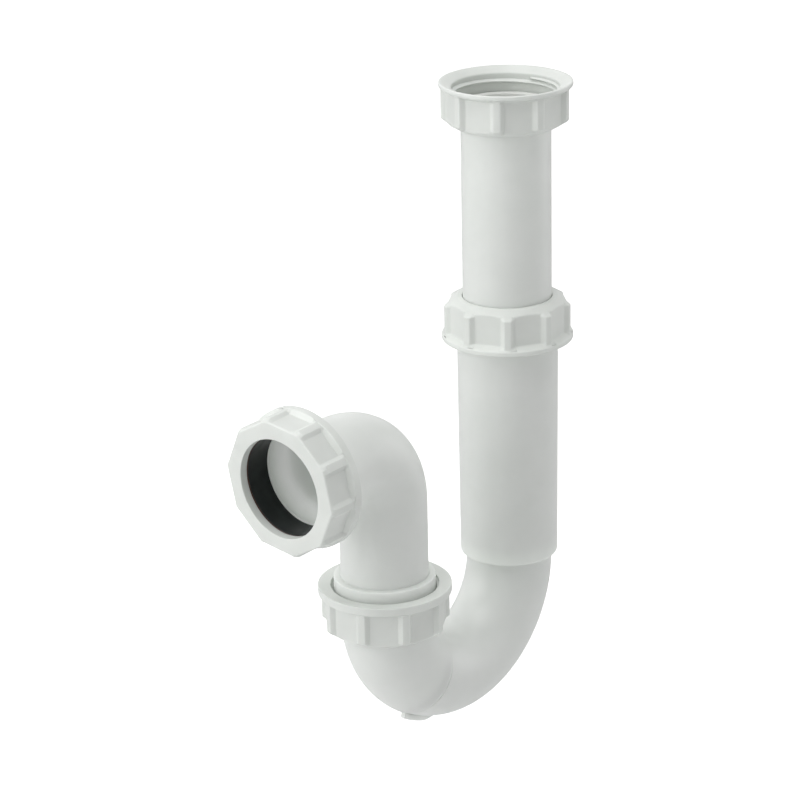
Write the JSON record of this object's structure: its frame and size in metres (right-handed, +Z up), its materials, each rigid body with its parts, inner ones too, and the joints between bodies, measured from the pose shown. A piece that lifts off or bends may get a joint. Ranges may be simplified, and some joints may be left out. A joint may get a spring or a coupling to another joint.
{
  "type": "telescopic p-trap",
  "caption": "Telescopic tubular p-trap with a sliding inlet tube, ribbed coupling nuts, a welded U-bend and a swivel elbow with a rubber-sealed pipe socket.",
  "frame": {"origin": "middle of the inlet's sealing face, on the axis of the inlet nut and tube", "axes": "+Z up along the inlet, -X towards the outlet leg and the outlet, Y across the U-bend"},
  "size_m": [0.1821, 0.0626, 0.2858],
  "materials": {
    "tube_plastic": "satin moulded polypropylene",
    "nut_plastic": "satin moulded polypropylene",
    "white_washer": "soft white polythene",
    "black_rubber": "moulded black rubber",
    "slip_ring": "smooth dark brown plastic"
  },
  "bodies": {
    "inlet": {"inlet_tube": "tube_plastic", "inlet_washer": "white_washer"},
    "inlet_nut": {"inlet_nut": "nut_plastic"},
    "slide_ring": {"slide_seal": "black_rubber", "slide_washer": "slip_ring"},
    "trap": {"inlet_leg": "tube_plastic", "outlet_bend": "tube_plastic"},
    "slide_nut": {"slide_nut": "nut_plastic"},
    "swivel_nut": {"swivel_nut": "nut_plastic"},
    "elbow": {"outlet_elbow": "tube_plastic", "swivel_washer": "black_rubber", "outlet_seal": "black_rubber", "outlet_washer": "slip_ring"},
    "outlet_nut": {"outlet_nut": "nut_plastic"}
  },
  "joints": [
    {"name": "inlet_nut_turn", "type": "hinge", "parent": "inlet", "child": "inlet_nut", "pos_m": [0, 0, 0], "axis": [0, 0, 1], "continuous": true},
    {"name": "telescope_slide", "type": "slide", "parent": "inlet", "child": "slide_ring", "axis": [0, 0, 1], "range_m": [-0.03, 0.052]},
    {"name": "trap_swivel", "type": "hinge", "parent": "slide_ring", "child": "trap", "pos_m": [0, 0, -0.1], "axis": [0, 0, 1], "continuous": true},
    {"name": "slide_nut_turn", "type": "hinge", "parent": "trap", "child": "slide_nut", "pos_m": [0, 0, -0.1], "axis": [0, 0, 1], "continuous": true},
    {"name": "swivel_nut_turn", "type": "hinge", "parent": "trap", "child": "swivel_nut", "pos_m": [-0.0864, 0, -0.21], "axis": [0, 0, 1], "continuous": true},
    {"name": "elbow_swivel", "type": "hinge", "parent": "trap", "child": "elbow", "pos_m": [-0.0864, 0, -0.2], "axis": [0, 0, 1], "range_deg": [-130, 130]},
    {"name": "outlet_nut_turn", "type": "hinge", "parent": "elbow", "child": "outlet_nut", "pos_m": [-0.14195, 0, -0.13392], "axis": [-0.999, 0, -0.0436], "continuous": true}
  ]
}
